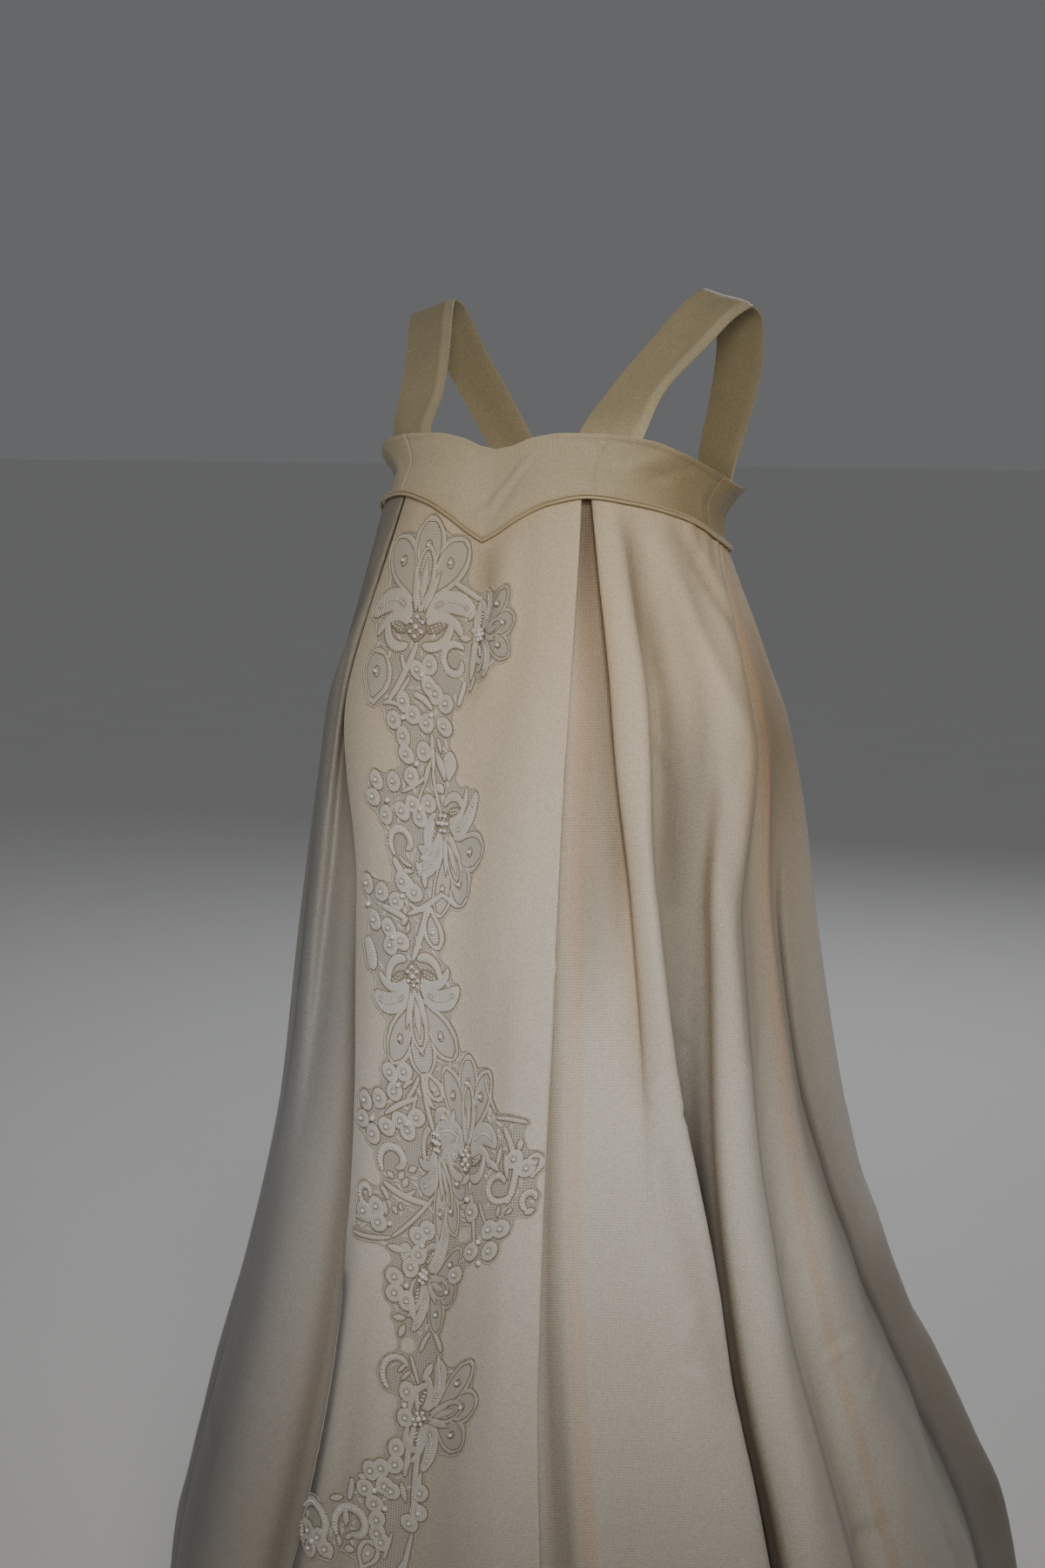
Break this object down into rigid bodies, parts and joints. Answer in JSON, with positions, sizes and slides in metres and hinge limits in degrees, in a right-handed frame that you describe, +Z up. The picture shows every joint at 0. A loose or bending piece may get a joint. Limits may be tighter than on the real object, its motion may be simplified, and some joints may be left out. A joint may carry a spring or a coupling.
{
  "type": "wedding dress",
  "caption": "Ivory satin empire-line wedding dress, filled out: wide shoulder straps, a short bodice band, and a long bell skirt with deep front pleats and beaded lace down its front.",
  "frame": {"origin": "midway between the tops of the two shoulder straps, where the wearer's shoulders hold the dress up", "axes": "+Z up, -Y towards the front of the dress, +X towards the wearer's left"},
  "size_m": [0.8366, 0.878, 1.4121],
  "materials": {
    "ivory_satin": "satin",
    "piping_satin": "satin",
    "strap_satin": "satin",
    "corded_lace": "matte"
  },
  "bodies": {
    "root": {"bodice_front": "ivory_satin", "bodice_side_left": "ivory_satin", "bodice_side_right": "ivory_satin", "bodice_back_left": "ivory_satin", "bodice_back_right": "ivory_satin", "skirt_front": "ivory_satin", "skirt_side_left": "ivory_satin", "skirt_side_right": "ivory_satin", "skirt_back_left": "ivory_satin", "skirt_back_right": "ivory_satin", "piping": "piping_satin", "strap_left": "strap_satin", "strap_right": "strap_satin", "lace": "corded_lace"}
  },
  "joints": []
}
